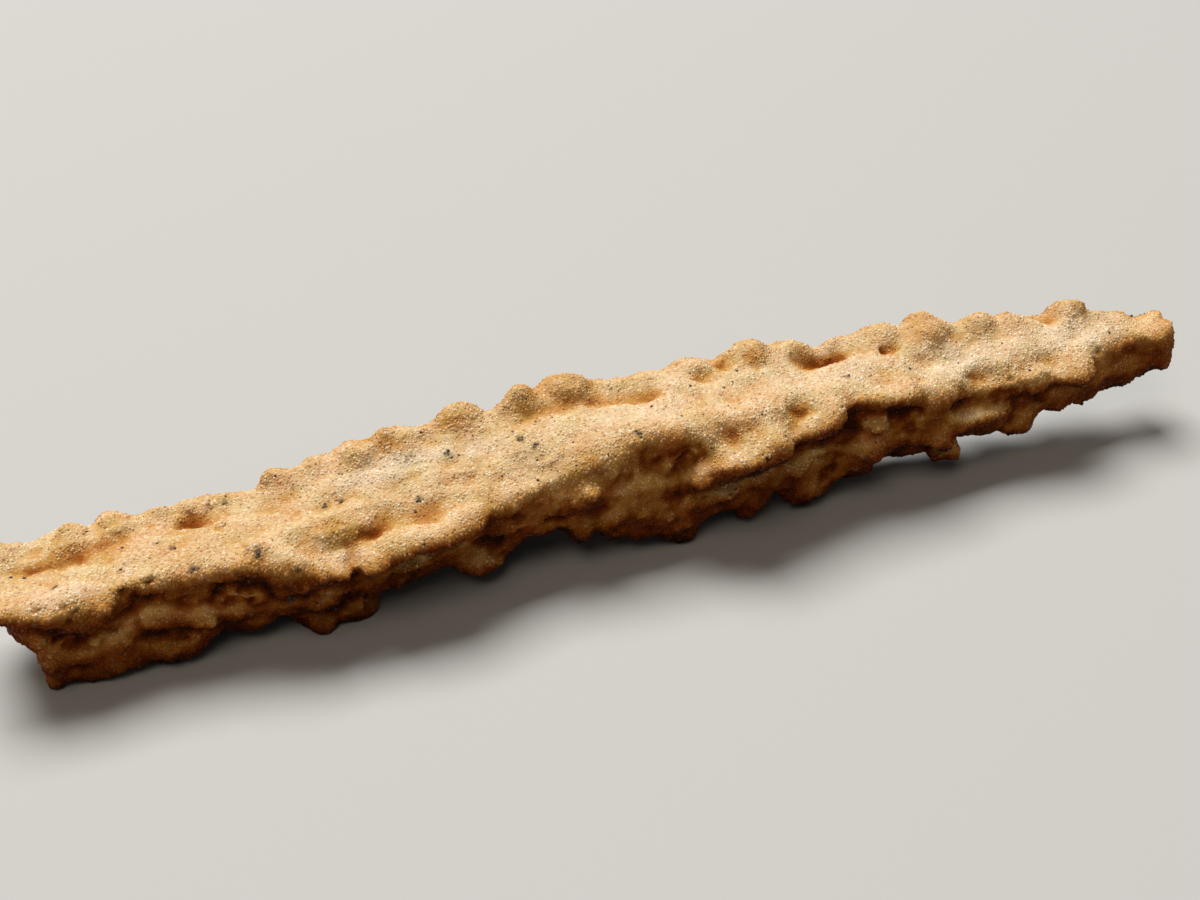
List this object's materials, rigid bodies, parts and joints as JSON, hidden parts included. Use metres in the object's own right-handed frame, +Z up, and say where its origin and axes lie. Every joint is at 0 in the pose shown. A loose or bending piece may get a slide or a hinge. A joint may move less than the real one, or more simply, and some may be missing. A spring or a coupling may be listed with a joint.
{
  "type": "fulgurite",
  "caption": "Long knobbly bar of sand fused by lightning, tapering to one end, with a small hollow at its broken end.",
  "frame": {"origin": "centre of the bounding box in X and Y, at the level of the worn knobs that it rests on", "axes": "+X from the broken, thicker end towards the tapering tip, +Z up, -Y towards the side with the overlapping fins"},
  "size_m": [0.1142, 0.015, 0.015],
  "materials": {
    "fused_sand": "rough"
  },
  "bodies": {
    "root": {"fulgurite": "fused_sand"}
  },
  "joints": []
}
